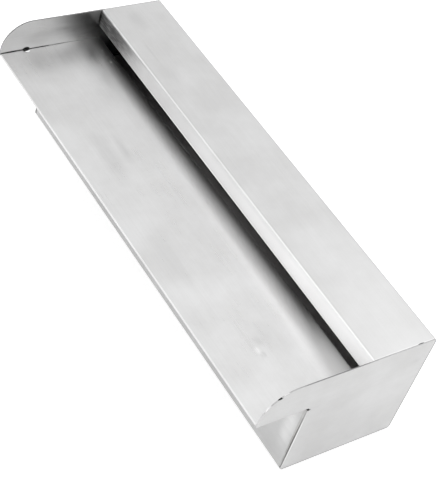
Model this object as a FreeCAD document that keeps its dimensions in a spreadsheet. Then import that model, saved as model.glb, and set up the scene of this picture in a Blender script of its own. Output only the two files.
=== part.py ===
import FreeCAD, Part
import math
import os
import Sketcher

# Waterfall spillway box ("wave slide"), all dimensions in millimetres.
# +X runs along the spill edge, -Y is the spill side, +Z is up.
# The origin is the bottom centre of the whole object, inlet spigot included.

V = FreeCAD.Vector

DIMENSIONS = [
    ("overall_length", 600.0),
    ("overall_height", 158.0),
    ("sheet", 1.5),
    ("chamber_depth", 155.0),
    ("overhang", 67.0),
    ("top_width", 87.0),
    ("lip_height", 24.0),
    ("lip_relief", 1.2),
    ("cheek_height", 43.5),
    ("cheek_radius", 40.0),
    ("bend_radius", 3.0),
    ("corner_radius", 3.0),
    ("hem_gap", 0.2),
    ("hem_return", 12.0),
    ("floor_clearance", 1.0),
    ("floor_slit", 0.5),
    ("notch_radius", 4.75),
    ("notch_position", 36.0),
    ("wall_flange", 12.0),
    ("weir_reach", 5.0),
    ("weir_drop", 15.0),
    ("rear_flange", 20.0),
    ("seam_top", 3.8),
    ("seam_foot", 2.0),
    ("seam_weld_top", 105.0),
    ("seam_recess", 0.35),
    ("spigot_radius", 25.0),
    ("spigot_wall", 1.5),
    ("spigot_length", 35.0),
    ("spigot_height", 34.0),
    ("collar_radius", 26.5),
    ("collar_length", 3.5),
    ("weld_leg", 2.5),
    ("bead_height", 0.6),
    ("bead_width", 5.0),
    ("diffuser_height", 78.0),
    ("diffuser_gap", 2.0),
    ("slot_length", 90.0),
    ("slot_width", 14.0),
    ("front_slot_row", 37.0),
    ("rear_slot_row", 6.0),
    ("inner_slot_centre", 125.0),
    ("outer_slot_centre", 235.0),
    ("ledge_leg", 16.0),
    ("ledge_gap", 12.0),
    ("gusset_reach", 55.0),
    ("gusset_drop", 30.0),
    ("gusset_pitch", 200.0),
    ("stitch_length", 24.0),
]

STITCH_CENTRES = (-240.0, -120.0, 0.0, 120.0, 240.0)


class Size:
    """A number that also keeps the spreadsheet formula it came from."""

    def __init__(self, value, text):
        self.value = float(value)
        self.text = text

    def __add__(self, other):
        other = as_size(other)
        return Size(self.value + other.value, "(%s + %s)" % (self.text, other.text))

    def __sub__(self, other):
        other = as_size(other)
        return Size(self.value - other.value, "(%s - %s)" % (self.text, other.text))

    def __mul__(self, factor):
        return Size(self.value * factor, "(%s * %s)" % (self.text, repr(float(factor))))

    def __neg__(self):
        return Size(-self.value, "(0 - %s)" % self.text)


def as_size(number):
    if isinstance(number, Size):
        return number
    return Size(number, "(%s)" % repr(float(number)))


doc = FreeCAD.newDocument("WaveSlide")
table = doc.addObject("Spreadsheet::Sheet", "Dims")
size = {}
for row, (alias, number) in enumerate(DIMENSIONS, start=1):
    table.set("A%d" % row, alias)
    table.set("B%d" % row, str(number))
    table.setAlias("B%d" % row, alias)
    size[alias] = Size(number, "Dims.%s" % alias)
doc.recompute()

sheet = size["sheet"]
half_length = size["overall_length"] * 0.5
half_inside = half_length - sheet
height = size["overall_height"]

# Stations along Y, measured from the middle of the whole depth.
whole_depth = size["overhang"] + size["chamber_depth"] + size["spigot_length"]
spill_edge = -(whole_depth * 0.5)
wall_front = spill_edge + size["overhang"]
back_face = wall_front + size["chamber_depth"]
lip_face = back_face - size["top_width"]
notch_centre = spill_edge + size["notch_position"]

# Levels along Z.
floor_top = height - size["cheek_height"]
floor_under = floor_top - sheet
hem_bottom = floor_under - size["hem_gap"] - sheet
rear_seam = height - size["rear_flange"]

parts = []


def new_body(label):
    body = doc.addObject("PartDesign::Body", label)
    body.Label = label
    parts.append(body)
    return body


def plane_of(body, role):
    for feature in body.Origin.OriginFeatures:
        if feature.Role == role:
            return feature
    raise ValueError(role)


def bind(target, prop, number):
    number = as_size(number)
    target.setExpression(prop, number.text)


def new_sketch(body, name, role, offset=None):
    sketch = body.newObject("Sketcher::SketchObject", name)
    sketch.AttachmentSupport = [(plane_of(body, role), "")]
    sketch.MapMode = "FlatFace"
    if offset is not None:
        bind(sketch, "AttachmentOffset.Base.z", offset)
    return sketch


def add_polygon(sketch, corners):
    """Closed outline; every corner is tied to the spreadsheet."""
    corners = [(as_size(a), as_size(b)) for a, b in corners]
    first = sketch.GeometryCount
    count = len(corners)
    for i in range(count):
        a = corners[i]
        b = corners[(i + 1) % count]
        start = V(a[0].value, a[1].value, 0)
        end = V(b[0].value, b[1].value, 0)
        sketch.addGeometry(Part.LineSegment(start, end), False)
    for i in range(count):
        j = (i + 1) % count
        sketch.addConstraint(Sketcher.Constraint("Coincident", first + i, 2, first + j, 1))
    for i in range(count):
        for kind, number in (("DistanceX", corners[i][0]), ("DistanceY", corners[i][1])):
            k = sketch.addConstraint(
                Sketcher.Constraint(kind, -1, 1, first + i, 1, number.value))
            sketch.setExpression("Constraints[%d]" % k, number.text)


def add_circle(sketch, across, up, radius):
    across, up, radius = as_size(across), as_size(up), as_size(radius)
    g = sketch.addGeometry(
        Part.Circle(V(across.value, up.value, 0), V(0, 0, 1), radius.value), False)
    k = sketch.addConstraint(Sketcher.Constraint("Radius", g, radius.value))
    sketch.setExpression("Constraints[%d]" % k, radius.text)
    for kind, number in (("DistanceX", across), ("DistanceY", up)):
        k = sketch.addConstraint(Sketcher.Constraint(kind, -1, 1, g, 3, number.value))
        sketch.setExpression("Constraints[%d]" % k, number.text)


def pad(body, sketch, length, side="Symmetric", backwards=False):
    feature = body.newObject("PartDesign::Pad", sketch.Name + "_pad")
    feature.Profile = sketch
    feature.SideType = side
    feature.Reversed = backwards
    bind(feature, "Length", length)
    doc.recompute()
    return feature


def pocket(body, sketch, depth, side="Symmetric"):
    """Cut along the sketch normal, turned round if the first try removes nothing."""
    before = body.Shape.Volume
    feature = body.newObject("PartDesign::Pocket", sketch.Name + "_cut")
    feature.Profile = sketch
    feature.SideType = side
    bind(feature, "Length", depth)
    doc.recompute()
    if side == "One side" and abs(body.Shape.Volume - before) < 1e-6:
        feature.Reversed = True
        doc.recompute()
    return feature


def close(a, b):
    return abs(a - b) < 1e-4


def round_edges(body, name, spots, radius):
    """Fillet the edges that run along X through the given (y, z) spots."""
    spots = [(as_size(y).value, as_size(z).value) for y, z in spots]
    base = body.Tip
    chosen = []
    for i, edge in enumerate(base.Shape.Edges, start=1):
        ends = [vertex.Point for vertex in edge.Vertexes]
        if len(ends) != 2:
            continue
        if not (close(ends[0].y, ends[1].y) and close(ends[0].z, ends[1].z)):
            continue
        if any(close(ends[0].y, y) and close(ends[0].z, z) for y, z in spots):
            chosen.append("Edge%d" % i)
    if not chosen:
        raise ValueError("no edge found for " + name)
    fillet = body.newObject("PartDesign::Fillet", name)
    fillet.Base = (base, chosen)
    bind(fillet, "Radius", radius)
    doc.recompute()
    return fillet


def bend(body, name, outer_spots, inner_spots):
    """A folded corner: outside radius from the table, inside radius one sheet less."""
    round_edges(body, name + "_outside", outer_spots, size["bend_radius"])
    round_edges(body, name + "_inside", inner_spots, size["bend_radius"] - sheet)


# Chamber shell: front wall, bottom and back wall folded from one sheet.
shell = new_body("chamber_shell")
outline = new_sketch(shell, "shell_profile", "YZ_Plane")
flange_end = wall_front + size["wall_flange"]
add_polygon(outline, [
    (wall_front, 0),
    (back_face, 0),
    (back_face, rear_seam),
    (back_face - sheet, rear_seam),
    (back_face - sheet, sheet),
    (wall_front + sheet, sheet),
    (wall_front + sheet, floor_under - sheet),
    (flange_end, floor_under - sheet),
    (flange_end, floor_under),
    (wall_front, floor_under),
])
pad(shell, outline, half_inside * 2)
bend(shell, "shell_bend",
     [(wall_front, 0), (back_face, 0), (wall_front, floor_under)],
     [(back_face - sheet, sheet), (wall_front + sheet, sheet),
      (wall_front + sheet, floor_under - sheet)])

# The front wall stops short of both end plates in a tapered weld seam.
seams = new_sketch(shell, "seam_outline", "XZ_Plane", -wall_front)
for side in (-1, 1):
    add_polygon(seams, [
        ((half_inside - size["seam_foot"]) * side, size["bend_radius"]),
        ((half_inside + 1) * side, size["bend_radius"]),
        ((half_inside + 1) * side, floor_under + 1),
        ((half_inside - size["seam_top"]) * side, floor_under + 1),
    ])
pocket(shell, seams, (size["bend_radius"] + 0.5) * 2)

inlet = new_sketch(shell, "inlet_outline", "XZ_Plane", -back_face)
add_circle(inlet, 0, size["spigot_height"], size["collar_radius"])
pocket(shell, inlet, sheet * 4)

# Top cover: top panel, baffle lip in front, flange at the back.
cover = new_body("top_cover")
outline = new_sketch(cover, "cover_profile", "YZ_Plane")
lip_foot = height - size["lip_height"]
add_polygon(outline, [
    (lip_face, lip_foot),
    (lip_face + sheet, lip_foot),
    (lip_face + sheet, height - sheet),
    (back_face - sheet, height - sheet),
    (back_face - sheet, rear_seam),
    (back_face, rear_seam),
    (back_face, height),
    (lip_face, height),
])
pad(cover, outline, half_inside * 2)
bend(cover, "cover_bend",
     [(lip_face, height), (back_face, height)],
     [(lip_face + sheet, height - sheet), (back_face - sheet, height - sheet)])

# Both ends of the lip are trimmed to a slim wedge so it folds clear of the plates.
relief = new_sketch(cover, "lip_relief_outline", "XZ_Plane", -lip_face)
for side in (-1, 1):
    add_polygon(relief, [
        ((half_inside - size["lip_relief"]) * side, lip_foot - 1),
        ((half_inside + 1) * side, lip_foot - 1),
        ((half_inside + 1) * side, height - size["bend_radius"]),
        (half_inside * side, height - size["bend_radius"]),
    ])
pocket(cover, relief, sheet * 4)

# Slide floor: hemmed spill edge, weir flange behind the lip.
floor = new_body("slide_floor")
outline = new_sketch(floor, "floor_profile", "YZ_Plane")
hem_end = spill_edge + size["hem_return"]
hem_mouth = spill_edge + sheet
weir_back = lip_face + sheet + size["weir_reach"]
add_polygon(outline, [
    (spill_edge, hem_bottom),
    (hem_end, hem_bottom),
    (hem_end, hem_bottom + sheet),
    (hem_mouth, hem_bottom + sheet),
    (hem_mouth, floor_under),
    (weir_back - sheet, floor_under),
    (weir_back - sheet, floor_top - size["weir_drop"]),
    (weir_back, floor_top - size["weir_drop"]),
    (weir_back, floor_top),
    (spill_edge, floor_top),
])
pad(floor, outline, half_inside * 2)
bend(floor, "weir_bend", [(weir_back, floor_top)], [(weir_back - sheet, floor_under)])
round_edges(floor, "hem_nose", [(spill_edge, floor_top), (spill_edge, hem_bottom)],
            size["hem_gap"] * 0.5 + sheet - 0.01)

# Ahead of the front wall the floor stands clear of the cheeks, most of all before the notches.
notches = new_sketch(floor, "notch_outline", "XY_Plane", floor_top)
for side in (-1, 1):
    add_polygon(notches, [
        ((half_inside - size["floor_clearance"]) * side, spill_edge - 1),
        ((half_inside + 1) * side, spill_edge - 1),
        ((half_inside + 1) * side, notch_centre),
        ((half_inside - size["floor_clearance"]) * side, notch_centre),
    ])
    add_polygon(notches, [
        ((half_inside - size["floor_slit"]) * side, notch_centre),
        ((half_inside + 1) * side, notch_centre),
        ((half_inside + 1) * side, wall_front),
        ((half_inside - size["floor_slit"]) * side, wall_front),
    ])
pocket(floor, notches, size["cheek_height"])
bites = new_sketch(floor, "bite_outline", "XY_Plane", floor_top)
for side in (-1, 1):
    add_circle(bites, half_inside * side, notch_centre, size["notch_radius"])
pocket(floor, bites, size["cheek_height"])


def end_plate(label, side):
    body = new_body(label)
    face = new_sketch(body, label + "_outline", "YZ_Plane")
    add_polygon(face, [
        (wall_front, 0),
        (back_face, 0),
        (back_face, height),
        (spill_edge, height),
        (spill_edge, hem_bottom),
        (wall_front, hem_bottom),
    ])
    pad(body, face, sheet, "One side", side < 0)
    round_edges(body, label + "_cheek", [(spill_edge, height)], size["cheek_radius"])
    round_edges(body, label + "_corners",
                [(wall_front, 0), (back_face, 0), (back_face, height)], size["corner_radius"])
    bind(body, "Placement.Base.x", half_inside * side)
    doc.recompute()
    return body


left_plate = end_plate("left_end_plate", -1)
right_plate = end_plate("right_end_plate", 1)


def corner_weld(label, side):
    """Tapered bead lying a little below the face of the front wall."""
    body = new_body(label)
    strip = new_sketch(body, label + "_outline", "XZ_Plane", -(wall_front + size["seam_recess"]))
    slope = (size["seam_top"].value - size["seam_foot"].value) / (
        floor_under.value + 1 - size["bend_radius"].value)
    rise = size["seam_weld_top"] - size["bend_radius"]
    width = size["seam_foot"] + rise * slope
    add_polygon(strip, [
        ((half_inside - size["seam_foot"]) * side, size["bend_radius"]),
        (half_inside * side, size["bend_radius"]),
        (half_inside * side, size["seam_weld_top"]),
        ((half_inside - width) * side, size["seam_weld_top"]),
    ])
    pad(body, strip, sheet - size["seam_recess"], "One side", True)
    return body


corner_weld("left_corner_weld", -1)
corner_weld("right_corner_weld", 1)


def floor_weld(label, side):
    """Fillet bead in the corner between the floor underside and a cheek."""
    body = new_body(label)
    start = notch_centre + size["notch_radius"] + 1
    section = new_sketch(body, label + "_section", "XZ_Plane", -start)
    reach = wall_front - start - 1
    add_polygon(section, [
        (half_inside * side, floor_under),
        ((half_inside - size["hem_gap"] - sheet) * side, floor_under),
        (half_inside * side, hem_bottom),
    ])
    pad(body, section, reach, "One side", True)
    return body


floor_weld("left_floor_weld", -1)
floor_weld("right_floor_weld", 1)

# Stitch welds in the groove between the floor underside and the bent front wall.
stitches = new_body("floor_wall_weld")
bend_radius = size["bend_radius"]
for i, centre in enumerate(STITCH_CENTRES):
    section = new_sketch(stitches, "stitch_section_%d" % i, "YZ_Plane", centre)
    low = (wall_front, floor_under - bend_radius)
    top = (wall_front + bend_radius, floor_under)
    toe = (wall_front - size["weld_leg"], floor_under)
    middle = V(top[0].value, low[1].value, 0)
    corners = [V(point[0].value, point[1].value, 0) for point in (low, top, toe)]
    ring = Part.Circle(middle, V(0, 0, 1), bend_radius.value)
    section.addGeometry(Part.ArcOfCircle(ring, math.pi * 0.5, math.pi), False)
    section.addGeometry(Part.LineSegment(corners[0], corners[2]), False)
    section.addGeometry(Part.LineSegment(corners[2], corners[1]), False)
    for first, end, second, start in ((0, 2, 1, 1), (1, 2, 2, 1), (2, 2, 0, 1)):
        section.addConstraint(Sketcher.Constraint("Coincident", first, end, second, start))
    for number, line, point in ((low, 1, 1), (top, 2, 2), (toe, 2, 1)):
        for kind, value in (("DistanceX", number[0]), ("DistanceY", number[1])):
            k = section.addConstraint(Sketcher.Constraint(kind, -1, 1, line, point, value.value))
            section.setExpression("Constraints[%d]" % k, value.text)
    k = section.addConstraint(Sketcher.Constraint("Radius", 0, bend_radius.value))
    section.setExpression("Constraints[%d]" % k, bend_radius.text)
    pad(stitches, section, size["stitch_length"])

# Bead on the outside of the back seam.
bead = new_body("rear_seam_weld")
section = new_sketch(bead, "rear_bead_section", "YZ_Plane")
add_polygon(section, [
    (back_face, rear_seam - size["bead_width"] * 0.5),
    (back_face + size["bead_height"], rear_seam - size["bead_width"] * 0.25),
    (back_face + size["bead_height"], rear_seam + size["bead_width"] * 0.25),
    (back_face, rear_seam + size["bead_width"] * 0.5),
])
pad(bead, section, half_inside * 2)


def turned(label, corners):
    """Ring of revolution about the spigot axis; corners are (radius, y)."""
    body = new_body(label)
    profile = new_sketch(body, label + "_profile", "XY_Plane")
    add_polygon(profile, corners)
    ring = body.newObject("PartDesign::Revolution", label + "_turn")
    ring.Profile = profile
    ring.ReferenceAxis = (profile, ["V_Axis"])
    ring.Angle = 360.0
    bind(body, "Placement.Base.z", size["spigot_height"])
    doc.recompute()
    return body


spigot_bore = size["spigot_radius"] - size["spigot_wall"]
spigot_tip = back_face + size["spigot_length"]
collar_end = back_face + size["collar_length"]
turned("inlet_spigot", [
    (spigot_bore, back_face - sheet),
    (size["collar_radius"], back_face - sheet),
    (size["collar_radius"], collar_end),
    (size["spigot_radius"], collar_end),
    (size["spigot_radius"], spigot_tip - 0.8),
    (size["spigot_radius"] - 0.6, spigot_tip),
    (spigot_bore, spigot_tip),
])
leg = size["weld_leg"]
turned("inlet_weld", [
    (size["collar_radius"], back_face),
    (size["collar_radius"] + leg, back_face),
    (size["collar_radius"] + leg * 0.62, back_face + leg * 0.62),
    (size["collar_radius"], back_face + leg),
])

# Diffuser: slotted plate on two angles welded to the walls.
chamber_front = wall_front + sheet
chamber_back = back_face - sheet
chamber_middle = (chamber_front + chamber_back) * 0.5
diffuser = new_body("diffuser_plate")
blank = new_sketch(diffuser, "diffuser_outline", "XY_Plane", size["diffuser_height"])
edge = half_inside - size["diffuser_gap"]
add_polygon(blank, [
    (-edge, chamber_front + size["diffuser_gap"]),
    (edge, chamber_front + size["diffuser_gap"]),
    (edge, chamber_back - size["diffuser_gap"]),
    (-edge, chamber_back - size["diffuser_gap"]),
])
pad(diffuser, blank, sheet, "One side")

# The middle stays solid, so the jet from the inlet spreads before it rises.
slots = new_sketch(diffuser, "slot_outline", "XY_Plane", size["diffuser_height"])
half_slot = size["slot_length"] * 0.5
half_width = size["slot_width"] * 0.5
for side in (-1, 1):
    for along in (size["inner_slot_centre"] * side, size["outer_slot_centre"] * side):
        for middle in (chamber_middle - size["front_slot_row"],
                       chamber_middle + size["rear_slot_row"]):
            add_polygon(slots, [
                (along - half_slot, middle - half_width),
                (along + half_slot, middle - half_width),
                (along + half_slot, middle + half_width),
                (along - half_slot, middle + half_width),
            ])
pocket(diffuser, slots, sheet * 4)


def ledge(label, wall, direction):
    """Angle with one leg on the chamber wall and one under the diffuser."""
    body = new_body(label)
    section = new_sketch(body, label + "_section", "YZ_Plane")
    leg = size["ledge_leg"]
    top = size["diffuser_height"]
    add_polygon(section, [
        (wall, top),
        (wall + leg * direction, top),
        (wall + leg * direction, top - sheet),
        (wall + sheet * direction, top - sheet),
        (wall + sheet * direction, top - leg),
        (wall, top - leg),
    ])
    pad(body, section, (half_inside - size["ledge_gap"]) * 2)
    round_edges(body, label + "_bend_inside",
                [(wall + sheet * direction, top - sheet)], size["bend_radius"] - sheet)
    return body


ledge("front_diffuser_ledge", chamber_front, 1)
ledge("rear_diffuser_ledge", chamber_back, -1)

# Four tacks lock the diffuser to the chamber walls.
tacks = new_body("diffuser_tack_welds")
tack_top = size["diffuser_height"] + sheet
for i, (across, wall, direction) in enumerate([
        (-150, chamber_front, 1), (150, chamber_front, 1),
        (-150, chamber_back, -1), (150, chamber_back, -1)]):
    section = new_sketch(tacks, "tack_section_%d" % i, "YZ_Plane", across)
    add_polygon(section, [
        (wall, tack_top + size["weld_leg"]),
        (wall, size["diffuser_height"]),
        (wall + size["diffuser_gap"] * direction, size["diffuser_height"]),
        (wall + size["diffuser_gap"] * direction, tack_top),
        (wall + (size["diffuser_gap"] + size["weld_leg"]) * direction, tack_top),
    ])
    pad(tacks, section, size["weld_leg"] * 4)


def gusset(label, centre):
    """Triangular plate from the front wall flange to the weir side of the floor."""
    body = new_body(label)
    face = new_sketch(body, label + "_outline", "YZ_Plane", centre)
    tip = chamber_front + size["gusset_reach"]
    top = floor_under - sheet
    clear = size["bend_radius"]
    add_polygon(face, [
        (chamber_front, top - clear),
        (chamber_front + clear, top),
        (flange_end, top),
        (flange_end, floor_under),
        (tip, floor_under),
        (tip, floor_under - 6),
        (chamber_front, top - size["gusset_drop"]),
    ])
    pad(body, face, sheet)
    return body


gusset("left_floor_gusset", -size["gusset_pitch"])
gusset("centre_floor_gusset", 0)
gusset("right_floor_gusset", size["gusset_pitch"])

doc.recompute()
for item in doc.Objects:
    troubled = [word for word in item.State if word in ("Invalid", "Error")]
    if troubled:
        raise RuntimeError("%s is %s" % (item.Name, troubled))
for piece in parts:
    if piece.Shape.isNull() or not piece.Shape.isValid():
        raise RuntimeError("bad shape: " + piece.Label)

os.makedirs("parts", exist_ok=True)
for piece in parts:
    piece.Shape.exportStep("parts/%s.step" % piece.Label)
    print("%-24s %10.1f mm3  %s" % (piece.Label, piece.Shape.Volume, piece.Shape.BoundBox))
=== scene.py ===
import math
from collections import namedtuple

import bmesh
import bpy
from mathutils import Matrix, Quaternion, Vector


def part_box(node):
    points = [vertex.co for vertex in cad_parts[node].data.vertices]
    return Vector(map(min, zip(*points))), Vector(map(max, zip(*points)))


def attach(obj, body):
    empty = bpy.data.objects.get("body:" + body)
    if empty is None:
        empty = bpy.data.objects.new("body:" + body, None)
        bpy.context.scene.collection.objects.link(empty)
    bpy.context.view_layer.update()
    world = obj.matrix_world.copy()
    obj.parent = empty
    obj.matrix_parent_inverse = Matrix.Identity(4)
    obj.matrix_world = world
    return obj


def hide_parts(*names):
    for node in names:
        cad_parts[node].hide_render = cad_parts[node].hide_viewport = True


MM = 0.001
BODY = "root"

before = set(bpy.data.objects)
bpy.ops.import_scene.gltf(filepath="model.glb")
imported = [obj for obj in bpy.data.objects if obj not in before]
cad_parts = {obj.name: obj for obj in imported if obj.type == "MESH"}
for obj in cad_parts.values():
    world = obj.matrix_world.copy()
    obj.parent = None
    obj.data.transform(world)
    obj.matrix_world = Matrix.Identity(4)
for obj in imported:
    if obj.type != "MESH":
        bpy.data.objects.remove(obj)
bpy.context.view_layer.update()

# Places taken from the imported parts.
shell_low, shell_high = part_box("chamber_shell")
cover_low, cover_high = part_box("top_cover")
floor_low, floor_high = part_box("slide_floor")
right_low, right_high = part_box("right_end_plate")
SHEET = right_high.x - right_low.x
INNER_SKIN = SHEET * 0.9  # deeper than this under an outer face counts as the inside
WALL_FRONT = shell_low.y
BACK_FACE = shell_high.y
LIP_FACE = cover_low.y
SPILL_EDGE = floor_low.y
FLOOR_TOP = floor_high.z
WEIR = floor_high.y
TOP = cover_high.z
INSIDE_X = shell_high.x

# Lime left on the diffuser just behind the weir, as an ellipsoid's centre and radii.
LIME_LINE = (0.0, WEIR + 0.0205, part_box("diffuser_plate")[1].z)
LIME_REACH = (INSIDE_X, 0.022, 0.008)


# ---------------------------------------------------------------- shader help

class Shader:
    """Short names for building one node material."""

    def __init__(self, name):
        self.material = bpy.data.materials.new(name)
        self.material.use_nodes = True
        self.tree = self.material.node_tree
        self.tree.nodes.clear()
        out = self.tree.nodes.new("ShaderNodeOutputMaterial")
        self.bsdf = self.tree.nodes.new("ShaderNodeBsdfPrincipled")
        self.link(self.bsdf.outputs["BSDF"], out.inputs["Surface"])
        self.coords = self.tree.nodes.new("ShaderNodeTexCoord").outputs["Object"]

    def link(self, source, target):
        self.tree.links.new(source, target)

    def put(self, value, socket):
        """Feed a socket with another node's output or with a constant."""
        if isinstance(value, bpy.types.NodeSocket):
            self.link(value, socket)
        else:
            socket.default_value = value

    def math(self, operation, a, b=0.0, clamp=False):
        node = self.tree.nodes.new("ShaderNodeMath")
        node.operation = operation
        node.use_clamp = clamp
        self.put(a, node.inputs[0])
        self.put(b, node.inputs[1])
        return node.outputs[0]

    def stretched(self, scale, shift=(0.0, 0.0, 0.0)):
        """Object coordinates scaled along each axis, then shifted."""
        node = self.tree.nodes.new("ShaderNodeMapping")
        self.link(self.coords, node.inputs["Vector"])
        node.inputs["Scale"].default_value = scale
        node.inputs["Location"].default_value = shift
        return node.outputs[0]

    def noise(self, vector, scale, detail=3.0, rough=0.55):
        node = self.tree.nodes.new("ShaderNodeTexNoise")
        self.link(vector, node.inputs["Vector"])
        node.inputs["Scale"].default_value = scale
        node.inputs["Detail"].default_value = detail
        node.inputs["Roughness"].default_value = rough
        return node.outputs["Fac"]

    def spread(self, value, low, high, to_low, to_high):
        """Map the range from low to high onto to_low to to_high, held at both ends."""
        node = self.tree.nodes.new("ShaderNodeMapRange")
        self.put(value, node.inputs["Value"])
        node.inputs["From Min"].default_value = low
        node.inputs["From Max"].default_value = high
        node.inputs["To Min"].default_value = to_low
        node.inputs["To Max"].default_value = to_high
        return node.outputs["Result"]

    def mix(self, factor, a, b):
        node = self.tree.nodes.new("ShaderNodeMix")
        node.data_type = "RGBA"
        self.put(factor, node.inputs["Factor"])
        self.put(a, node.inputs["A"])
        self.put(b, node.inputs["B"])
        return node.outputs["Result"]

    def spot(self, centre, radii, soft=0.6):
        """0 outside an ellipsoid, rising to 1 over the outer share of it that soft gives."""
        node = self.tree.nodes.new("ShaderNodeMapping")
        self.link(self.coords, node.inputs["Vector"])
        node.inputs["Scale"].default_value = [1.0 / r for r in radii]
        node.inputs["Location"].default_value = [-c / r for c, r in zip(centre, radii)]
        length = self.tree.nodes.new("ShaderNodeVectorMath")
        length.operation = "LENGTH"
        self.link(node.outputs[0], length.inputs[0])
        fade = self.spread(length.outputs["Value"], 1.0, 1.0 - soft, 0.0, 1.0)
        fade.node.interpolation_type = "SMOOTHSTEP"
        return fade

    def bump(self, height, distance, strength=1.0, under=None):
        node = self.tree.nodes.new("ShaderNodeBump")
        node.inputs["Distance"].default_value = distance
        node.inputs["Strength"].default_value = strength
        self.link(height, node.inputs["Height"])
        if under is not None:
            self.link(under, node.inputs["Normal"])
        return node.outputs["Normal"]


def grey(value, warm=0.0):
    """A grey. The share that warm gives is added to the red and taken from the blue."""
    return (value * (1 + warm), value, value * (1 - warm), 1.0)


# A local change of colour, for stains and for painted light and shade: an ellipsoid that fades to
# another tone. A mottle above zero breaks it up into patches, drawn out along the brush lines; a
# larger one makes finer patches.
Mark = namedtuple("Mark", "centre radii tone strength soft mottle", defaults=(1.0, 0.9, 0.0))

FILM_GREY = grey(0.93, 0.004)
PATCH_LENGTH = 0.22  # a patch's frequency along the grain, as a share of that across it


def drawn_out(grain, across, along):
    """Frequencies of a noise that is drawn out along the axis grain."""
    scale = [across] * 3
    scale[grain] = along
    return scale


def brushed_steel(name, grain, tone, shade, rough=0.33, blotch=14.0, marks=(), film=()):
    """Satin sheet: fine brush lines along the axis grain, soft blotches, local stains and painted
    light and shade.

    The colour wanders between tone and shade. film lists (centre, radii, strength) of the
    places where dried water leaves a dull coat."""
    s = Shader(name)
    lines = s.noise(s.stretched(drawn_out(grain, 520.0, 14.0)), 1.0, 2.0)
    bands = s.noise(s.stretched(drawn_out(grain, 150.0, 4.0), (3.0, 7.0, 1.0)), 1.0, 2.0)
    cloud = s.noise(s.coords, blotch, 4.0, 0.6)
    wipe = s.noise(s.stretched((1.0, 1.6, 1.3), (5.0, 2.0, 9.0)), 5.0, 2.0)
    handled = s.spread(cloud, 0.36, 0.64, 0.0, 1.0)
    tone_mix = s.math("ADD", s.math("MULTIPLY", handled, 0.60),
                      s.math("MULTIPLY", s.spread(lines, 0.3, 0.7, 0.0, 1.0), 0.20))
    tone_mix = s.math("ADD", tone_mix, s.math("MULTIPLY", bands, 0.2), True)
    colour = s.mix(tone_mix, grey(shade, 0.004), grey(tone, -0.002))
    roughness = rough
    for texture, swing in ((cloud, 0.10), (lines, 0.10), (wipe, 0.08)):
        change = s.math("MULTIPLY", s.math("SUBTRACT", texture, 0.5), swing)
        roughness = s.math("ADD", roughness, change)
    for mark in marks:
        cover = s.math("MULTIPLY", s.spot(mark.centre, mark.radii, mark.soft), mark.strength)
        if mark.mottle:
            streaks = drawn_out(grain, mark.mottle, mark.mottle * PATCH_LENGTH)
            patchy = s.spread(s.noise(s.stretched(streaks), 1.0, 3.0), 0.34, 0.60, 0.25, 1.0)
            cover = s.math("MULTIPLY", cover, patchy, True)
        colour = s.mix(cover, colour, grey(mark.tone))
    coat = 0.0
    for centre, radii, strength in film:
        coat = s.math("MAXIMUM", coat, s.math("MULTIPLY", s.spot(centre, radii, 0.9), strength))
    s.bsdf.inputs["Metallic"].default_value = 1.0
    if film:
        colour = s.mix(coat, colour, FILM_GREY)
        roughness = s.math("ADD", roughness, s.math("MULTIPLY", coat, 0.25), True)
        s.link(s.math("SUBTRACT", 1.0, coat), s.bsdf.inputs["Metallic"])
    s.link(colour, s.bsdf.inputs["Base Color"])
    s.link(roughness, s.bsdf.inputs["Roughness"])
    waves = s.bump(wipe, 2.2 * MM, 0.5)
    normal = s.bump(lines, 0.02 * MM, 0.6, waves)
    s.link(normal, s.bsdf.inputs["Normal"])
    return s.material


def weld_steel(name, toes):
    """Bead with soot and heat tint.

    toes lists (centre, radii) of the places where the groove beside a bead is dark."""
    s = Shader(name)
    soot = s.noise(s.coords, 160.0, 3.0)
    tint = s.noise(s.coords, 40.0, 2.0)
    colour = s.mix(s.spread(soot, 0.35, 0.65, 0.0, 1.0), grey(0.38, 0.01), grey(0.52, 0.004))
    colour = s.mix(s.spread(tint, 0.5, 0.8, 0.0, 0.2), colour, (0.42, 0.38, 0.33, 1.0))
    for centre, radii in toes:
        colour = s.mix(s.spot(centre, radii, 0.6), colour, grey(0.13, 0.02))
    s.link(colour, s.bsdf.inputs["Base Color"])
    s.link(s.spread(soot, 0.3, 0.7, 0.34, 0.52), s.bsdf.inputs["Roughness"])
    s.bsdf.inputs["Metallic"].default_value = 1.0
    s.link(s.bump(soot, 0.08 * MM, 0.7), s.bsdf.inputs["Normal"])
    return s.material


def drawn_tube(name):
    """Satin tube with fine turning lines round its axis."""
    s = Shader(name)
    rings = s.noise(s.stretched((6.0, 1400.0, 6.0)), 1.0, 2.0)
    cloud = s.noise(s.coords, 45.0, 3.0)
    colour = s.mix(s.spread(cloud, 0.35, 0.65, 0.0, 1.0), grey(0.56), grey(0.66))
    s.link(colour, s.bsdf.inputs["Base Color"])
    s.link(s.spread(rings, 0.3, 0.7, 0.24, 0.40), s.bsdf.inputs["Roughness"])
    s.bsdf.inputs["Metallic"].default_value = 1.0
    s.link(s.bump(rings, 0.03 * MM, 0.7), s.bsdf.inputs["Normal"])
    return s.material


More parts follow.
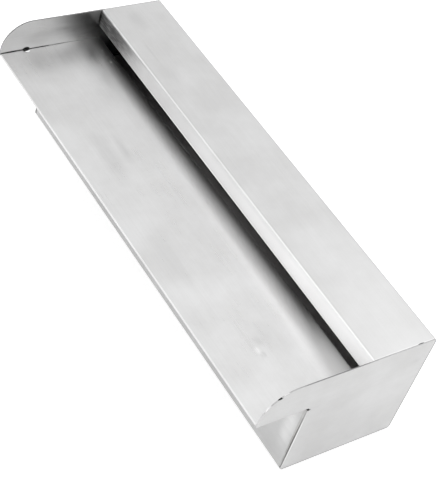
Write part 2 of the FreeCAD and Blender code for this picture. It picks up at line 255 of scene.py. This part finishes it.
def wet_inside(name):
    """Inner faces: dull mill finish with mineral film."""
    s = Shader(name)
    film = s.noise(s.coords, 22.0, 5.0, 0.65)
    runs = s.noise(s.stretched((90.0, 90.0, 6.0)), 1.0, 3.0)
    colour = s.mix(s.spread(film, 0.35, 0.65, 0.0, 1.0), grey(0.52), grey(0.64, 0.01))
    colour = s.mix(s.spread(runs, 0.55, 0.8, 0.0, 0.5), colour, grey(0.46, 0.02))
    lime = s.spot(LIME_LINE, LIME_REACH, 0.9)
    colour = s.mix(lime, colour, grey(0.78, 0.01))
    s.link(colour, s.bsdf.inputs["Base Color"])
    s.link(s.spread(film, 0.3, 0.7, 0.38, 0.52), s.bsdf.inputs["Roughness"])
    s.link(s.spread(lime, 0.0, 1.0, 1.0, 0.35), s.bsdf.inputs["Metallic"])
    s.link(s.bump(film, 0.1 * MM, 0.5), s.bsdf.inputs["Normal"])
    return s.material


# ------------------------------------------------------------------- meshes

def add_piece(name, mesh, slot, *replaced):
    """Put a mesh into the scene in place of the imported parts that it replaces."""
    piece = bpy.data.objects.new(name, mesh)
    bpy.context.scene.collection.objects.link(piece)
    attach(piece, BODY)
    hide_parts(*replaced)
    return piece


FOLDED_EDGE = 0.22 * MM
CUT_EDGE = 0.4 * MM
FINE_EDGE = 0.15 * MM
SAME_POINT = 0.002 * MM
SAME_PLANE = math.radians(0.4)
CORNER = math.radians(40)
SHADING_BREAK = math.radians(50)


def finished_sheet(node, slot, materials, edge=FOLDED_EDGE, finish=None):
    """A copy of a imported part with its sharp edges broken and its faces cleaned.

    finish(face) gives the number of the material that a face takes."""
    mesh = bpy.data.meshes.new(node + "_mesh")
    bm = bmesh.new()
    bm.from_mesh(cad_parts[node].data)
    bmesh.ops.remove_doubles(bm, verts=bm.verts, dist=SAME_POINT)
    bmesh.ops.dissolve_limit(bm, angle_limit=SAME_PLANE, verts=bm.verts, edges=bm.edges)
    sharp = [e for e in bm.edges if len(e.link_faces) == 2 and e.calc_face_angle(0.0) > CORNER]
    bmesh.ops.bevel(bm, geom=sharp, offset=edge, segments=2, profile=0.5,
                    affect="EDGES", clamp_overlap=True)
    for face in bm.faces:
        face.smooth = True
        if finish is not None:
            face.material_index = finish(face)
    bm.to_mesh(mesh)
    bm.free()
    for material in materials:
        mesh.materials.append(material)
    mesh.set_sharp_from_angle(angle=SHADING_BREAK)
    piece = add_piece(node + "_finished", mesh, slot, node)
    even = piece.modifiers.new("even_faces", "WEIGHTED_NORMAL")
    even.keep_sharp = True


# ---------------------------------------------------------------- materials

LONG = 9.0  # radius of a mark that doesn't fade along the part
LIP_FOOT = cover_low.z
SPILL_REACH = 0.056  # how far the dark joint beside the slide floor runs in from the spill edge
NOTCH_Y = SPILL_EDGE + 0.0355
FAR_X = -INSIDE_X  # inner face of the left end plate
NEAR_X = INSIDE_X + SHEET  # outer face of the right end plate
SKIN = SHEET * 0.95  # keeps a mark on one of an end plate's two faces

FLOOR_MARKS = [
    # finger smudge and the shade round it
    Mark((0.224, -0.071, FLOOR_TOP), (0.006, 0.005, 0.01), 0.44, 0.40, 0.8, 240.0),
    Mark((0.217, -0.074, FLOOR_TOP), (0.007, 0.005, 0.01), 0.96, 0.7, 0.8, 200.0),
    Mark((0.206, -0.066, FLOOR_TOP), (0.010, 0.009, 0.01), 0.52, 0.30, 0.9, 120.0),
    Mark((0.200, -0.054, FLOOR_TOP), (0.026, 0.016, 0.01), 0.56, 0.26, 0.9, 60.0),
    # broad faint stains
    Mark((-0.101, -0.062, FLOOR_TOP), (0.034, 0.009, 0.01), 0.48, 0.36, 0.9, 60.0),
    Mark((-0.098, -0.085, FLOOR_TOP), (0.060, 0.017, 0.01), 0.52, 0.34, 0.9, 45.0),
    Mark((-0.267, -0.091, FLOOR_TOP), (0.014, 0.009, 0.01), 0.46, 0.36, 0.9, 80.0),
    Mark((-0.272, -0.066, FLOOR_TOP), (0.034, 0.060, 0.01), 0.50, 0.42, 0.9, 38.0),
    Mark((0.060, -0.095, FLOOR_TOP), (0.070, 0.020, 0.01), 0.58, 0.26, 0.9, 40.0),
    # shade under the rolled hem
    Mark((0, SPILL_EDGE + 0.2 * MM, FLOOR_TOP - 3.0 * MM), (LONG, 1.5 * MM, 1.3 * MM),
         0.22, 0.9, 0.5),
]
FLOOR_FILM = [
    # dried film along the lip, fuller at the right end
    ((0.25, LIP_FACE - 0.0100, FLOOR_TOP), (0.76, 0.0170, 0.012), 0.50),
    ((0.300, LIP_FACE - 0.004, FLOOR_TOP), (0.150, 0.034, 0.012), 1.0),
    # two dried drops at the far end of the weir
    ((-0.2725, 0.0015, FLOOR_TOP), (1.5 * MM, 1.5 * MM, 0.01), 1.0),
    ((-0.2485, 0.0015, FLOOR_TOP), (1.8 * MM, 1.8 * MM, 0.01), 1.0),
]

COVER_MARKS = [
    # lip face: painted light towards the right end, painted shade over the left end and at the right
    # end's foot, and a painted highlight along the bottom edge
    Mark((0.29, LIP_FACE, LIP_FOOT + 0.010), (0.46, 2.4 * MM, 0.026), 1.0, 0.95, 0.7),
    Mark((FAR_X, LIP_FACE, LIP_FOOT + 0.010), (0.120, 2.6 * MM, 0.030), 0.14, 0.92, 0.9, 420.0),
    Mark((INSIDE_X, LIP_FACE, LIP_FOOT + 0.004), (0.010, 2.6 * MM, 0.006), 0.40, 0.7, 0.8),
    Mark((0.06, LIP_FACE, LIP_FOOT), (0.33, 2.6 * MM, 2.8 * MM), 1.0, 1.0, 0.3),
    # top panel: painted light at the right end, a painted highlight along the right edge, painted
    # shade on the back bend, faint stains
    Mark((0.32, 0.05, TOP), (0.30, 0.12, 4 * MM), 0.95, 0.30),
    Mark((INSIDE_X, 0.05, TOP), (1.9 * MM, 0.09, 3 * MM), 0.96, 0.8, 0.7),
    Mark((0, BACK_FACE - 0.7 * MM, TOP - 0.9 * MM), (LONG, 2.4 * MM, 2.4 * MM), 0.36, 0.9, 0.5),
    Mark((INSIDE_X, 0.072, TOP), (1.0 * MM, 5.0 * MM, 3 * MM), 0.12, 1.0, 0.4),
    Mark((-0.205, 0.027, TOP), (0.030, 2.2 * MM, 0.01), 0.50, 0.35, 0.9, 90.0),
    Mark((-0.270, 0.042, TOP), (0.030, 0.016, 0.01), 0.50, 0.36, 0.9, 60.0),
    Mark((-0.160, 0.030, TOP), (0.028, 0.013, 0.01), 0.54, 0.30, 0.9, 60.0),
]

SHELL_MARKS = [
    # brighter patch at the right end, and painted shade in the opening at the seam's top
    Mark((0.286, WALL_FRONT, 0.062), (0.014, 3 * MM, 0.050), 0.74, 0.75, 0.9, 55.0),
    Mark((INSIDE_X, WALL_FRONT, 0.1085), (5.0 * MM, 3.5 * MM, 3.0 * MM), 0.05, 1.0, 0.5),
]

CHEEK_MARKS = [
    # dark joint beside the slide floor, with painted shade filling the notch
    Mark((FAR_X, SPILL_EDGE + SPILL_REACH * 0.4, FLOOR_TOP - 0.2 * MM),
         (SKIN, SPILL_REACH * 0.62, 2.1 * MM), 0.02, 1.0, 0.6, 160.0),
    Mark((FAR_X, NOTCH_Y, FLOOR_TOP + 0.4 * MM), (SKIN, 5.6 * MM, 3.9 * MM), 0.01, 1.0, 0.3),
    Mark((FAR_X, NOTCH_Y + 0.030, FLOOR_TOP), (SKIN, 0.054, 1.3 * MM), 0.05, 0.88, 0.5, 140.0),
    # painted shade in the corner round the lip's end, and the lip's dark joint
    Mark((FAR_X, LIP_FACE + 2 * MM, LIP_FOOT + 0.006), (SKIN, 0.017, 0.028), 0.06, 0.82, 0.95, 46.0),
    Mark((FAR_X, -0.013, LIP_FOOT + 0.002), (SKIN, 0.034, 0.030), 0.30, 0.50, 0.95, 70.0),
    Mark((FAR_X, LIP_FACE - 0.8 * MM, LIP_FOOT + 0.013), (SKIN, 1.3 * MM, 0.014), 0.02, 0.9, 0.6),
    # painted shade on the plate inside the chamber
    Mark((FAR_X, LIP_FACE + 0.050, 0.072), (SKIN, 0.056, 0.080), 0.05, 0.9, 0.4),
    # painted soft shade on the open cheek
    Mark((FAR_X, -0.075, FLOOR_TOP + 0.017), (SKIN, 0.030, 0.014), 0.52, 0.55, 0.9, 60.0),
    Mark((FAR_X, -0.034, FLOOR_TOP + 0.026), (SKIN, 0.040, 0.024), 0.34, 0.72, 0.9, 50.0),
]

# painted highlight along the back half of the left plate's top edge
LEFT_EDGE_MARKS = [Mark((FAR_X, 0.060, TOP), (3 * MM, 0.058, 4 * MM), 0.55, 1.0, 0.2)]

RIGHT_MARKS = [
    # soft stains
    Mark((NEAR_X, 0.076, 0.128), (SKIN, 0.010, 0.010), 0.44, 0.5, 0.9, 90.0),
    Mark((NEAR_X, -0.010, 0.145), (SKIN, 0.022, 0.009), 0.49, 0.5, 0.9, 70.0),
    Mark((NEAR_X, 0.030, 0.060), (SKIN, 0.050, 0.030), 0.53, 0.5, 0.9, 30.0),
    # painted highlight beside the corner seam, and painted shade along the lower and back edges
    Mark((NEAR_X, WALL_FRONT + 0.5 * MM, 0.053), (SKIN, 1.0 * MM, 0.056), 0.80, 0.9, 0.6),
    Mark((NEAR_X, 0, 0), (SKIN, LONG, 2.2 * MM), 0.16, 0.9, 0.7),
    Mark((NEAR_X, BACK_FACE, 0.08), (SKIN, 2.2 * MM, LONG), 0.16, 0.9, 0.7),
    # dark dash on the cheek's rim, and painted shade in the opening at the seam's top
    Mark((NEAR_X, -0.1115, 0.1507), (SKIN, 4.2 * MM, 1.3 * MM), 0.01, 1.0, 0.35),
    Mark((NEAR_X, WALL_FRONT + 1 * MM, 0.1085), (SKIN, 2.2 * MM, 1.7 * MM), 0.04, 1.0, 0.4),
]
RIGHT_EDGE_MARKS = [
    # painted shade along the top rim, two painted glints and the dark dash between them
    Mark((NEAR_X, -0.040, TOP), (3 * MM, 0.062, 3 * MM), 0.22, 0.8, 0.5),
    Mark((NEAR_X, -0.1235, 0.1402), (3 * MM, 6.5 * MM, 6.5 * MM), 1.0, 1.0, 0.5),
    Mark((NEAR_X, -0.1035, 0.1535), (3 * MM, 5.0 * MM, 4.0 * MM), 0.95, 0.9, 0.5),
    Mark((NEAR_X, -0.1115, 0.1507), (3 * MM, 4.2 * MM, 2.0 * MM), 0.01, 1.0, 0.35),
    # dark groove beside the corner seam, and painted shade in the opening at its top
    Mark((INSIDE_X, WALL_FRONT, 0.05), (1.0 * MM, 3 * MM, 0.075), 0.12, 1.0, 0.4),
    Mark((INSIDE_X, WALL_FRONT, 0.109), (3 * MM, 3 * MM, 3.4 * MM), 0.03, 1.0, 0.4),
]
SEAM_TOES = [((side * INSIDE_X, WALL_FRONT, 0.05), (1.5 * MM, 3 * MM, 0.075)) for side in (-1, 1)]

# shell_steel, plate_steel and right_steel are darker than the floor, cover and cheek steels: painted
# shade that offsets the glowing paper they face
floor_steel = brushed_steel("floor_steel", 0, 0.84, 0.70, 0.30, marks=FLOOR_MARKS,
                            film=FLOOR_FILM)
cover_steel = brushed_steel("cover_steel", 0, 0.78, 0.66, marks=COVER_MARKS)
shell_steel = brushed_steel("shell_steel", 0, 0.56, 0.46, blotch=11.0, marks=SHELL_MARKS)
plate_steel = brushed_steel("plate_steel", 1, 0.58, 0.48, blotch=13.0)
cheek_steel = brushed_steel("cheek_steel", 1, 0.78, 0.66, 0.30, 17.0, CHEEK_MARKS)
right_steel = brushed_steel("right_steel", 1, 0.60, 0.50, blotch=17.0, marks=RIGHT_MARKS)
# the left cut edge is far darker than the right one: painted shade of the far end
shaded_left_cut_edge = brushed_steel("shaded_left_cut_edge", 0, 0.20, 0.10, 0.45, 40.0, LEFT_EDGE_MARKS)
right_cut_edge = brushed_steel("right_cut_edge", 0, 0.62, 0.50, 0.40, 40.0, RIGHT_EDGE_MARKS)
inner_steel = wet_inside("inner_steel")
bead_steel = weld_steel("bead_steel", SEAM_TOES)
tube_steel = drawn_tube("tube_steel")

# -------------------------------------------------------------- sheet parts

def shell_finish(face):
    """0 outside, 1 inside."""
    centre = face.calc_center_median()
    between_walls = WALL_FRONT + INNER_SKIN < centre.y < BACK_FACE - INNER_SKIN
    return int(between_walls and centre.z > INNER_SKIN)


def cover_finish(face):
    """0 for the panel and the lip, 1 inside, 2 for the rear flange."""
    centre = face.calc_center_median()
    behind_lip = LIP_FACE + INNER_SKIN < centre.y < BACK_FACE - INNER_SKIN
    if behind_lip and centre.z < TOP - INNER_SKIN:
        return 1
    return 2 if face.normal.y > 0.7 else 0


def floor_finish(face):
    """0 on top and in front, 1 underneath behind the front wall."""
    centre = face.calc_center_median()
    return int(centre.z < FLOOR_TOP - INNER_SKIN and centre.y > WALL_FRONT + SHEET)


def plate_finish(face):
    """0 for the right face, 1 for the cut edge, 2 for the left face."""
    if abs(face.normal.x) < 0.5:
        return 1
    return 0 if face.normal.x > 0 else 2


finished_sheet("chamber_shell", "sheet_steel", (shell_steel, inner_steel), finish=shell_finish)
finished_sheet("top_cover", "sheet_steel", (cover_steel, inner_steel, shell_steel),
               finish=cover_finish)
finished_sheet("slide_floor", "sheet_steel", (floor_steel, inner_steel), finish=floor_finish)
finished_sheet("left_end_plate", "sheet_steel", (cheek_steel, shaded_left_cut_edge, plate_steel),
               CUT_EDGE, plate_finish)
finished_sheet("right_end_plate", "sheet_steel", (right_steel, right_cut_edge, plate_steel),
               CUT_EDGE, plate_finish)
finished_sheet("inlet_spigot", "pipe_steel", (tube_steel,), FINE_EDGE)
for node in ("diffuser_plate", "front_diffuser_ledge", "rear_diffuser_ledge",
             "left_floor_gusset", "centre_floor_gusset", "right_floor_gusset"):
    finished_sheet(node, "inner_steel", (inner_steel,), FINE_EDGE)

# -------------------------------------------------------------------- welds

RIPPLE = 1.7 * MM
RIPPLE_DEPTH = 0.28  # share of the crown's height that is lost between two ripples
RIPPLE_BOW = 0.45  # how far a ripple's middle lies from its ends, in ripples
END_STEP = 0.25  # share of the crown that an open run gains at each station from its ends
STATION = RIPPLE / 3
SECTION_STEPS = 8
BEAD_SHADING_BREAK = math.radians(60)


def bead_runs(name, runs, crown, replaced, closed=False):
    """Weld beads as one piece. A run lists (toe, other toe, root) at stations along a bead.

    crown is the height over the line between the toes."""
    bm = bmesh.new()
    for run in runs:
        travelled = 0.0
        rings = []
        last = None
        count = len(run)
        for i, (toe, other, root) in enumerate(run):
            middle = (toe + other) / 2
            if last is not None:
                travelled += (middle - last).length
            last = middle
            lift = (middle - root).normalized()
            ends = 1.0
            if not closed:
                ends = min(1.0, END_STEP * (1 + min(i, count - 1 - i)))
            ring = []
            for k in range(SECTION_STEPS + 1):
                across = k / SECTION_STEPS
                arch = 4 * across * (1 - across)
                phase = (travelled / RIPPLE + RIPPLE_BOW * arch) % 1.0
                ripple = 1.0 - RIPPLE_DEPTH + RIPPLE_DEPTH * math.sin(math.pi * phase)
                height = crown * arch * ripple * ends
                ring.append(bm.verts.new(toe.lerp(other, across) + lift * height))
            ring.append(bm.verts.new(root))
            rings.append(ring)
        pairs = list(zip(rings, rings[1:]))
        if closed:
            pairs.append((rings[-1], rings[0]))
        for near, far in pairs:
            for k in range(len(near)):
                after = (k + 1) % len(near)
                bm.faces.new((near[k], near[after], far[after], far[k]))
        if not closed:
            bm.faces.new(list(reversed(rings[0])))
            bm.faces.new(rings[-1])
    bmesh.ops.recalc_face_normals(bm, faces=bm.faces)
    for face in bm.faces:
        face.smooth = len(face.verts) == 4
    mesh = bpy.data.meshes.new(name + "_mesh")
    bm.to_mesh(mesh)
    bm.free()
    mesh.materials.append(bead_steel)
    mesh.set_sharp_from_angle(angle=BEAD_SHADING_BREAK)
    add_piece(name, mesh, "weld_bead", replaced)


def straight_run(start, end, toe, other, root):
    """Stations from start to end. The offsets may be functions of t, which runs from 0 to 1."""
    count = int((end - start).length / STATION)
    run = []
    for i in range(count + 1):
        t = i / count
        base = start.lerp(end, t)
        run.append(tuple(base + (o(t) if callable(o) else o) for o in (toe, other, root)))
    return run


SEAM_FOOT = 0.53  # width of a corner seam's foot, as a share of its top
SEAM_INSET = 0.1 * MM  # how far its toe on the front wall lies behind the wall's face
SEAM_SINK = 0.9 * MM  # how much deeper its toe at the end plate lies
SEAM_DEPTH = 0.95  # depth of its root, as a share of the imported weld's
STITCHES = 5
STITCH = 24 * MM
STITCH_ROOT = 0.9 * MM  # how far in and down from the corner a stitch's root lies
REAR_ROOT = 0.02 * MM  # keeps the rear bead's root just under the back wall's face
TACK = 10 * MM
TACK_LEG = 2.3 * MM  # how far a tack reaches over the diffuser
TACK_ROOT = SHEET * 0.9
# Height of each kind of bead over the line between its toes.
SEAM_CROWN = 0.35 * MM
FILLET_CROWN = 0.25 * MM
STITCH_CROWN = 0.3 * MM
REAR_CROWN = 0.9 * MM
TACK_CROWN = 0.4 * MM


def corner_bead(label, side):
    """Tapered seam between the front wall and an end plate."""
    low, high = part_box(label + "_corner_weld")
    wide = high.x - low.x
    narrow = wide * SEAM_FOOT
    depth = (high.y - low.y) * SEAM_DEPTH

    def toe(t):
        return Vector((-side * (narrow + (wide - narrow) * t), 0, 0))

    def root(t):
        return Vector((-side * (narrow + (wide - narrow) * t) / 2, depth, 0))

    foot = Vector((side * INSIDE_X, WALL_FRONT + SEAM_INSET, low.z))
    top = Vector((side * INSIDE_X, WALL_FRONT + SEAM_INSET, high.z))
    run = straight_run(foot, top, toe, Vector((0, SEAM_SINK, 0)), root)
    bead_runs(label + "_corner_bead", [run], SEAM_CROWN, label + "_corner_weld")


def floor_bead(label, side):
    """Fillet under the slide floor, along an end plate."""
    low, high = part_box(label + "_floor_weld")
    leg = high.x - low.x
    front = Vector((side * INSIDE_X, low.y, high.z))
    back = Vector((side * INSIDE_X, high.y, high.z))
    run = straight_run(front, back, Vector((-side * leg, 0, 0)), Vector((0, 0, -leg)), Vector())
    bead_runs(label + "_floor_bead", [run], FILLET_CROWN, label + "_floor_weld")


def stitch_beads():
    """Short runs between the slide floor and the front wall."""
    low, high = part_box("floor_wall_weld")
    pitch = (high.x - low.x - STITCH) / (STITCHES - 1)
    runs = []
    for i in range(STITCHES):
        left = Vector((low.x + i * pitch, WALL_FRONT, high.z))
        runs.append(straight_run(
            left, left + Vector((STITCH, 0, 0)),
            Vector((0, low.y - WALL_FRONT, 0)), Vector((0, 0, low.z - high.z)),
            Vector((0, STITCH_ROOT, -STITCH_ROOT))))
    bead_runs("floor_wall_beads", runs, STITCH_CROWN, "floor_wall_weld")


def rear_bead():
    """Bead along the seam of cover and shell, on the back."""
    low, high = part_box("rear_seam_weld")
    middle_z = (low.z + high.z) / 2
    half = Vector((0, 0, (high.z - low.z) / 2))
    left = Vector((low.x, BACK_FACE, middle_z))
    right = Vector((high.x, BACK_FACE, middle_z))
    run = straight_run(left, right, half, -half, Vector((0, -REAR_ROOT, 0)))
    bead_runs("rear_seam_bead", [run], REAR_CROWN, "rear_seam_weld")


def inlet_bead():
    """Closed fillet round the inlet stub."""
    low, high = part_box("inlet_weld")
    collar_low, collar_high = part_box("inlet_spigot")
    collar = (collar_high.x - collar_low.x) / 2
    leg = (high.x - low.x) / 2 - collar
    axis_z = (low.z + high.z) / 2
    steps = int(2 * math.pi * collar / STATION)
    ring = []
    for i in range(steps):
        angle = 2 * math.pi * i / steps
        out = Vector((math.cos(angle), 0, math.sin(angle)))
        root = Vector((0, BACK_FACE, axis_z)) + out * collar
        ring.append((root + out * leg, root + Vector((0, leg, 0)), root))
    bead_runs("inlet_bead", [ring], SEAM_CROWN, "inlet_weld", closed=True)


def tack_beads():
    """Four tacks between the diffuser and the walls."""
    low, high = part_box("diffuser_tack_welds")
    plate_low, plate_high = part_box("diffuser_plate")
    up = Vector((0, 0, high.z - plate_high.z))
    runs = []
    for left in (low.x, high.x - TACK):
        for wall, way, rim in ((low.y, 1, plate_low.y), (high.y, -1, plate_high.y)):
            corner = Vector((left, wall, plate_high.z))
            runs.append(straight_run(
                corner, corner + Vector((TACK, 0, 0)),
                up, Vector((0, rim - wall + way * TACK_LEG, 0)),
                Vector((0, (rim - wall) / 2, -TACK_ROOT))))
    bead_runs("diffuser_tack_beads", runs, TACK_CROWN, "diffuser_tack_welds")


for label, side in (("left", -1), ("right", 1)):
    corner_bead(label, side)
    floor_bead(label, side)
stitch_beads()
rear_bead()
inlet_bead()
tack_beads()

# ------------------------------------------------------------------- studio

GROUND = 6.0  # half the width of the paper under the part
PAPER_GLOW = 0.62


def studio_floor():
    """White paper that glows a little, so that it stays white under the part's soft shadow."""
    mesh = bpy.data.meshes.new("studio_floor_mesh")
    corners = [(x * GROUND, y * GROUND, 0) for x, y in ((-1, -1), (1, -1), (1, 1), (-1, 1))]
    mesh.from_pydata(corners, [], [(0, 1, 2, 3)])
    s = Shader("studio_paper")
    s.bsdf.inputs["Base Color"].default_value = (0.72, 0.72, 0.72, 1.0)
    s.bsdf.inputs["Emission Color"].default_value = (1.0, 1.0, 1.0, 1.0)
    s.bsdf.inputs["Emission Strength"].default_value = PAPER_GLOW
    s.bsdf.inputs["Roughness"].default_value = 0.95
    s.bsdf.inputs["Specular IOR Level"].default_value = 0.1
    mesh.materials.append(s.material)
    ground = bpy.data.objects.new("studio_floor", mesh)
    bpy.context.scene.collection.objects.link(ground)


DOME = 0.74
# Direction towards a panel, the angle in degrees at which it has faded out, and its strength.
PANELS = [
    ((0.2, 0.9, 0.4), 75.0, 0.44),
    ((0.1, -0.2, 0.97), 55.0, 0.20),
    ((-0.50, -0.56, 0.66), 32.0, 0.68),
    ((0.62, -0.5, 0.6), 42.0, -0.38),
]


def sky():
    """White room: an even dome with broad soft panels that add light or take it away."""
    world = bpy.data.worlds.new("white_room")
    bpy.context.scene.world = world
    world.use_nodes = True
    tree = world.node_tree
    tree.nodes.clear()
    out = tree.nodes.new("ShaderNodeOutputWorld")
    back = tree.nodes.new("ShaderNodeBackground")
    tree.links.new(back.outputs[0], out.inputs["Surface"])
    coords = tree.nodes.new("ShaderNodeTexCoord").outputs["Generated"]
    total = None
    for direction, angle, strength in PANELS:
        dot = tree.nodes.new("ShaderNodeVectorMath")
        dot.operation = "DOT_PRODUCT"
        tree.links.new(coords, dot.inputs[0])
        dot.inputs[1].default_value = Vector(direction).normalized()
        panel = tree.nodes.new("ShaderNodeMapRange")
        panel.interpolation_type = "SMOOTHSTEP"
        tree.links.new(dot.outputs["Value"], panel.inputs["Value"])
        panel.inputs["From Min"].default_value = math.cos(math.radians(angle))
        panel.inputs["From Max"].default_value = 1.0
        panel.inputs["To Min"].default_value = 0.0
        panel.inputs["To Max"].default_value = strength
        add = tree.nodes.new("ShaderNodeMath")
        add.operation = "ADD"
        if total is None:
            add.inputs[0].default_value = DOME
        else:
            tree.links.new(total, add.inputs[0])
        tree.links.new(panel.outputs["Result"], add.inputs[1])
        total = add.outputs[0]
    tree.links.new(total, back.inputs["Strength"])
    back.inputs["Color"].default_value = (1.0, 1.0, 1.0, 1.0)


studio_floor()
sky()

# The camera's place in metres, its angles in degrees, and its lens and sensor in millimetres.
CAMERA_PLACE = (0.8339, -0.8070, 1.1508)
CAMERA_AZIMUTH = 44.742
CAMERA_ELEVATION = 43.385
CAMERA_ROLL = 19.262
LENS = 101.14
SENSOR_WIDTH = 36.0


def photographer():
    """Camera whose back faces its azimuth and elevation, rolled about the line of sight."""
    camera = bpy.data.objects.new("camera", bpy.data.cameras.new("camera"))
    bpy.context.scene.collection.objects.link(camera)
    azimuth = math.radians(CAMERA_AZIMUTH)
    elevation = math.radians(CAMERA_ELEVATION)
    level = math.cos(elevation)
    back = Vector((math.sin(azimuth) * level, -math.cos(azimuth) * level, math.sin(elevation)))
    turn = Quaternion(back, math.radians(CAMERA_ROLL))
    camera.rotation_mode = "QUATERNION"
    camera.rotation_quaternion = turn @ (-back).to_track_quat("-Z", "Y")
    camera.location = CAMERA_PLACE
    camera.data.lens = LENS
    camera.data.sensor_width = SENSOR_WIDTH
    camera.data.clip_start = 0.05
    camera.data.clip_end = 30.0
    bpy.context.scene.camera = camera


photographer()
bpy.context.scene.view_settings.view_transform = "Standard"
